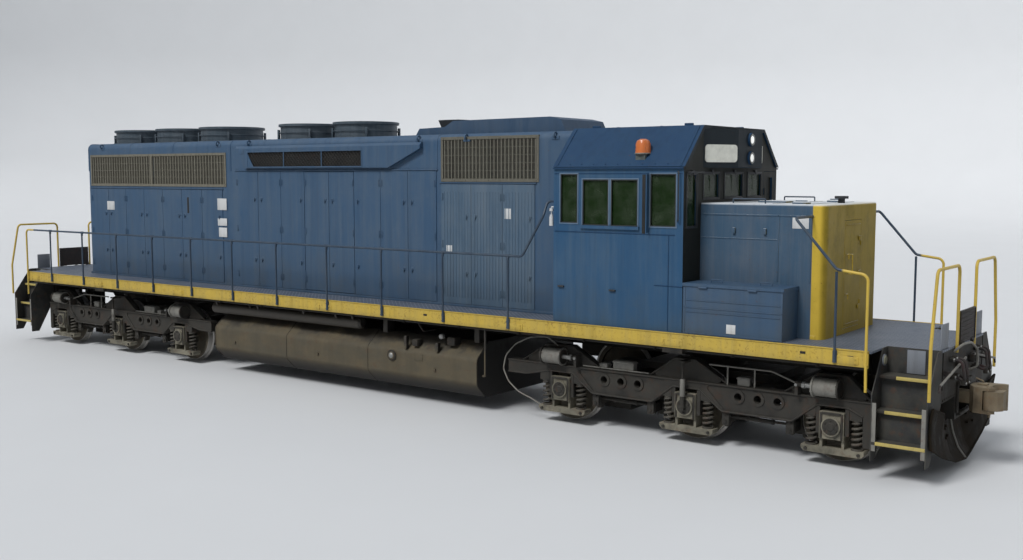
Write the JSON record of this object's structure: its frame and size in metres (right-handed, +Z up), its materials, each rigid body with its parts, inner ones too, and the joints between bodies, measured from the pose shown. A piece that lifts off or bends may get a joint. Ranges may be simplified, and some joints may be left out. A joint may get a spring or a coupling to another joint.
{
  "type": "diesel locomotive",
  "caption": "Full-size road diesel locomotive with a low short hood, cab, long hood with roof fans, three-axle trucks, handrails and a snow plough.",
  "frame": {"origin": "middle of the locomotive's box at the lowest point of the wheel flanges", "axes": "+X forward to the short hood, +Y to the left, +Z up"},
  "size_m": [20.98, 3.1798, 4.6478],
  "materials": {
    "body_paint": "weathered slate-blue paint",
    "sill_paint": "weathered mustard-yellow paint",
    "rail_paint": "worn yellow and blue paint on pipe",
    "deck_paint": "worn grey-blue tread plate",
    "frame_grime": "dark oily grime",
    "tank_grime": "grey-green paint under dust",
    "truck_cast": "cast steel under brake dust",
    "wheel_steel": "worn tread, rusty web",
    "spring_steel": "dirty spring steel",
    "grille_paint": "olive-grey dusty shutters",
    "fan_metal": "dull painted aluminium",
    "glass": "dark tinted",
    "lamp_glass": "white lit panels",
    "interior": "grey-green cab interior",
    "coupler_rust": "rusty cast steel",
    "hose_rubber": "black rubber",
    "engine_paint": "grey engine enamel"
  },
  "bodies": {
    "locomotive": {"underframe": "frame_grime", "deck_plate": "deck_paint", "side_sills": "sill_paint", "fuel_tank": "tank_grime", "air_reservoirs": "tank_grime", "radiator_hood": "body_paint", "engine_hood": "body_paint", "equipment_hood": "body_paint", "hood_doors": "body_paint", "side_grilles": "grille_paint", "brake_hatch": "body_paint", "roof_hatch": "body_paint", "fan_shrouds": "fan_metal", "cab_shell": "body_paint", "cab_roof": "body_paint", "cab_glass": "glass", "cab_fittings": "interior", "nose_hood": "body_paint", "lamp_housing": "body_paint", "lamps": "lamp_glass", "battery_boxes": "body_paint", "handrails": "rail_paint", "stanchions": "rail_paint", "step_wells": "frame_grime", "end_gear": "hose_rubber", "snow_plough": "coupler_rust", "engine_block": "engine_paint", "roof_fittings": "frame_grime"},
    "truck_front": {"truck_frame_front": "truck_cast", "journal_boxes_front": "truck_cast", "springs_front": "spring_steel", "brake_gear_front": "truck_cast", "traction_motors_front": "truck_cast"},
    "truck_rear": {"truck_frame_rear": "truck_cast", "journal_boxes_rear": "truck_cast", "springs_rear": "spring_steel", "brake_gear_rear": "truck_cast", "traction_motors_rear": "truck_cast"},
    "wheelset_1": {"wheelset_1": "wheel_steel"},
    "wheelset_2": {"wheelset_2": "wheel_steel"},
    "wheelset_3": {"wheelset_3": "wheel_steel"},
    "wheelset_4": {"wheelset_4": "wheel_steel"},
    "wheelset_5": {"wheelset_5": "wheel_steel"},
    "wheelset_6": {"wheelset_6": "wheel_steel"},
    "fan_radiator_rear": {"fan_radiator_rear": "fan_metal"},
    "fan_radiator_middle": {"fan_radiator_middle": "fan_metal"},
    "fan_radiator_front": {"fan_radiator_front": "fan_metal"},
    "fan_brake_rear": {"fan_brake_rear": "fan_metal"},
    "fan_brake_front": {"fan_brake_front": "fan_metal"},
    "cab_door_rear_right": {"cab_door_rear_right": "body_paint"},
    "cab_door_front_left": {"cab_door_front_left": "body_paint"},
    "nose_door": {"nose_door": "body_paint"},
    "engine_door_left_rear": {"engine_door_left_rear": "body_paint"},
    "engine_door_left_front": {"engine_door_left_front": "body_paint"},
    "engine_door_right_rear": {"engine_door_right_rear": "body_paint"},
    "engine_door_right_front": {"engine_door_right_front": "body_paint"},
    "coupler_front": {"coupler_front": "coupler_rust"},
    "knuckle_front": {"knuckle_front": "coupler_rust"},
    "coupler_rear": {"coupler_rear": "coupler_rust"},
    "knuckle_rear": {"knuckle_rear": "coupler_rust"}
  },
  "joints": [
    {"name": "truck_front_swivel", "type": "hinge", "parent": "locomotive", "child": "truck_front", "pos_m": [6.63, 0, 1], "axis": [0, 0, 1], "range_deg": [-5, 5]},
    {"name": "truck_rear_swivel", "type": "hinge", "parent": "locomotive", "child": "truck_rear", "pos_m": [-6.63, 0, 1], "axis": [0, 0, 1], "range_deg": [-5, 5]},
    {"name": "wheelset_1_roll", "type": "hinge", "parent": "truck_front", "child": "wheelset_1", "pos_m": [8.7, 0, 0.536], "axis": [0, 1, 0], "continuous": true},
    {"name": "wheelset_2_roll", "type": "hinge", "parent": "truck_front", "child": "wheelset_2", "pos_m": [6.63, 0, 0.536], "axis": [0, 1, 0], "continuous": true},
    {"name": "wheelset_3_roll", "type": "hinge", "parent": "truck_front", "child": "wheelset_3", "pos_m": [4.56, 0, 0.536], "axis": [0, 1, 0], "continuous": true},
    {"name": "wheelset_4_roll", "type": "hinge", "parent": "truck_rear", "child": "wheelset_4", "pos_m": [-4.56, 0, 0.536], "axis": [0, 1, 0], "continuous": true},
    {"name": "wheelset_5_roll", "type": "hinge", "parent": "truck_rear", "child": "wheelset_5", "pos_m": [-6.63, 0, 0.536], "axis": [0, 1, 0], "continuous": true},
    {"name": "wheelset_6_roll", "type": "hinge", "parent": "truck_rear", "child": "wheelset_6", "pos_m": [-8.7, 0, 0.536], "axis": [0, 1, 0], "continuous": true},
    {"name": "fan_radiator_rear_spin", "type": "hinge", "parent": "locomotive", "child": "fan_radiator_rear", "pos_m": [-7.05, 0, 4.4], "axis": [0, 0, 1], "continuous": true},
    {"name": "fan_radiator_middle_spin", "type": "hinge", "parent": "locomotive", "child": "fan_radiator_middle", "pos_m": [-5.62, 0, 4.4], "axis": [0, 0, 1], "continuous": true},
    {"name": "fan_radiator_front_spin", "type": "hinge", "parent": "locomotive", "child": "fan_radiator_front", "pos_m": [-4.2, 0, 4.4], "axis": [0, 0, 1], "continuous": true},
    {"name": "fan_brake_rear_spin", "type": "hinge", "parent": "locomotive", "child": "fan_brake_rear", "pos_m": [-1.92, 0, 4.4], "axis": [0, 0, 1], "continuous": true},
    {"name": "fan_brake_front_spin", "type": "hinge", "parent": "locomotive", "child": "fan_brake_front", "pos_m": [-0.48, 0, 4.4], "axis": [0, 0, 1], "continuous": true},
    {"name": "cab_door_rear_right_swing", "type": "hinge", "parent": "locomotive", "child": "cab_door_rear_right", "pos_m": [4.665, -0.974, 3], "axis": [0, 0, 1], "range_deg": [-95, 0]},
    {"name": "cab_door_front_left_swing", "type": "hinge", "parent": "locomotive", "child": "cab_door_front_left", "pos_m": [6.755, 1.046, 3], "axis": [0, 0, 1], "range_deg": [-95, 0]},
    {"name": "nose_door_swing", "type": "hinge", "parent": "locomotive", "child": "nose_door", "pos_m": [8.505, 0.298, 2.4], "axis": [0, 0, 1], "range_deg": [0, 110]},
    {"name": "engine_door_left_rear_swing", "type": "hinge", "parent": "locomotive", "child": "engine_door_left_rear", "pos_m": [-1.122, 0.926, 2.7], "axis": [0, 0, 1], "range_deg": [0, 95]},
    {"name": "engine_door_left_front_swing", "type": "hinge", "parent": "locomotive", "child": "engine_door_left_front", "pos_m": [0.102, 0.926, 2.7], "axis": [0, 0, 1], "range_deg": [-95, 0]},
    {"name": "engine_door_right_rear_swing", "type": "hinge", "parent": "locomotive", "child": "engine_door_right_rear", "pos_m": [-1.122, -0.926, 2.7], "axis": [0, 0, 1], "range_deg": [-95, 0]},
    {"name": "engine_door_right_front_swing", "type": "hinge", "parent": "locomotive", "child": "engine_door_right_front", "pos_m": [0.102, -0.926, 2.7], "axis": [0, 0, 1], "range_deg": [0, 95]},
    {"name": "coupler_front_swing", "type": "hinge", "parent": "locomotive", "child": "coupler_front", "pos_m": [9.45, 0, 0.904], "axis": [0, 0, 1], "range_deg": [-8, 8]},
    {"name": "knuckle_front_open", "type": "hinge", "parent": "coupler_front", "child": "knuckle_front", "pos_m": [10.33, -0.14, 0.904], "axis": [0, 0, 1], "range_deg": [-50, 0]},
    {"name": "coupler_rear_swing", "type": "hinge", "parent": "locomotive", "child": "coupler_rear", "pos_m": [-9.45, 0, 0.904], "axis": [0, 0, 1], "range_deg": [-8, 8]},
    {"name": "knuckle_rear_open", "type": "hinge", "parent": "coupler_rear", "child": "knuckle_rear", "pos_m": [-10.33, 0.14, 0.904], "axis": [0, 0, 1], "range_deg": [-50, 0]}
  ]
}
